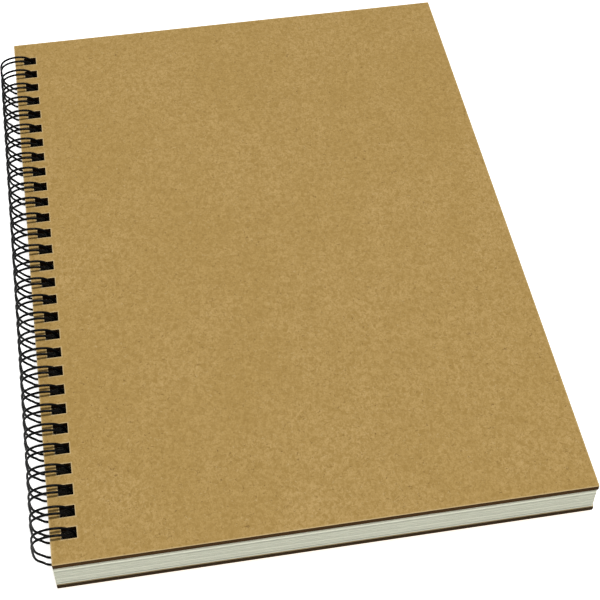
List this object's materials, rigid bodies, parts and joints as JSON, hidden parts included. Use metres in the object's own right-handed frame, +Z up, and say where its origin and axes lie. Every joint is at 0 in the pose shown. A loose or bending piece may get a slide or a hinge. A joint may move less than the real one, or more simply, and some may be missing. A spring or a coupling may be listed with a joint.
{
  "type": "sketchbook",
  "caption": "Closed sketchbook: plain kraft board covers and drawing leaves punched along one edge, turning on a black twin-loop wire binding.",
  "frame": {"origin": "middle of the footprint, on the plane that the lowest points of the wire loops touch", "axes": "+Y along the spine from tail to head, +X from the spine to the fore edge, +Z up from the back cover to the front cover"},
  "size_m": [0.1938, 0.26, 0.0191],
  "materials": {
    "black_wire": "black nylon-coated steel wire, soft gloss",
    "kraft_paper": "matte brown kraft paper with fine flecks",
    "kraft_lining": "matte brown kraft paper",
    "brown_board": "dense dark brown board, raw cut edge",
    "drawing_paper": "matte off-white drawing paper"
  },
  "bodies": {
    "bound_back": {"twin_loop_wire": "black_wire", "back_facing": "kraft_paper", "back_board": "brown_board", "back_lining": "kraft_lining"},
    "lower_leaves": {"leaves_01": "drawing_paper", "leaves_02": "drawing_paper", "leaves_03": "drawing_paper", "leaves_04": "drawing_paper", "leaves_05": "drawing_paper", "leaves_06": "drawing_paper"},
    "upper_leaves": {"leaves_07": "drawing_paper", "leaves_08": "drawing_paper", "leaves_09": "drawing_paper", "leaves_10": "drawing_paper", "leaves_11": "drawing_paper", "leaves_12": "drawing_paper"},
    "first_leaf": {"first_leaf": "drawing_paper"},
    "front_cover": {"front_facing": "kraft_paper", "front_board": "brown_board", "front_lining": "kraft_lining"}
  },
  "joints": [
    {"name": "lower_leaves_turn", "type": "hinge", "parent": "bound_back", "child": "lower_leaves", "pos_m": [-0.08818, 0, 0.01034], "axis": [0, -1, 0], "range_deg": [0, 180]},
    {"name": "upper_leaves_turn", "type": "hinge", "parent": "lower_leaves", "child": "upper_leaves", "pos_m": [-0.08818, 0, 0.01034], "axis": [0, -1, 0], "range_deg": [0, 180]},
    {"name": "first_leaf_turn", "type": "hinge", "parent": "upper_leaves", "child": "first_leaf", "pos_m": [-0.08818, 0, 0.01034], "axis": [0, -1, 0], "range_deg": [0, 180]},
    {"name": "front_cover_turn", "type": "hinge", "parent": "first_leaf", "child": "front_cover", "pos_m": [-0.08818, 0, 0.01034], "axis": [0, -1, 0], "range_deg": [0, 180]}
  ]
}
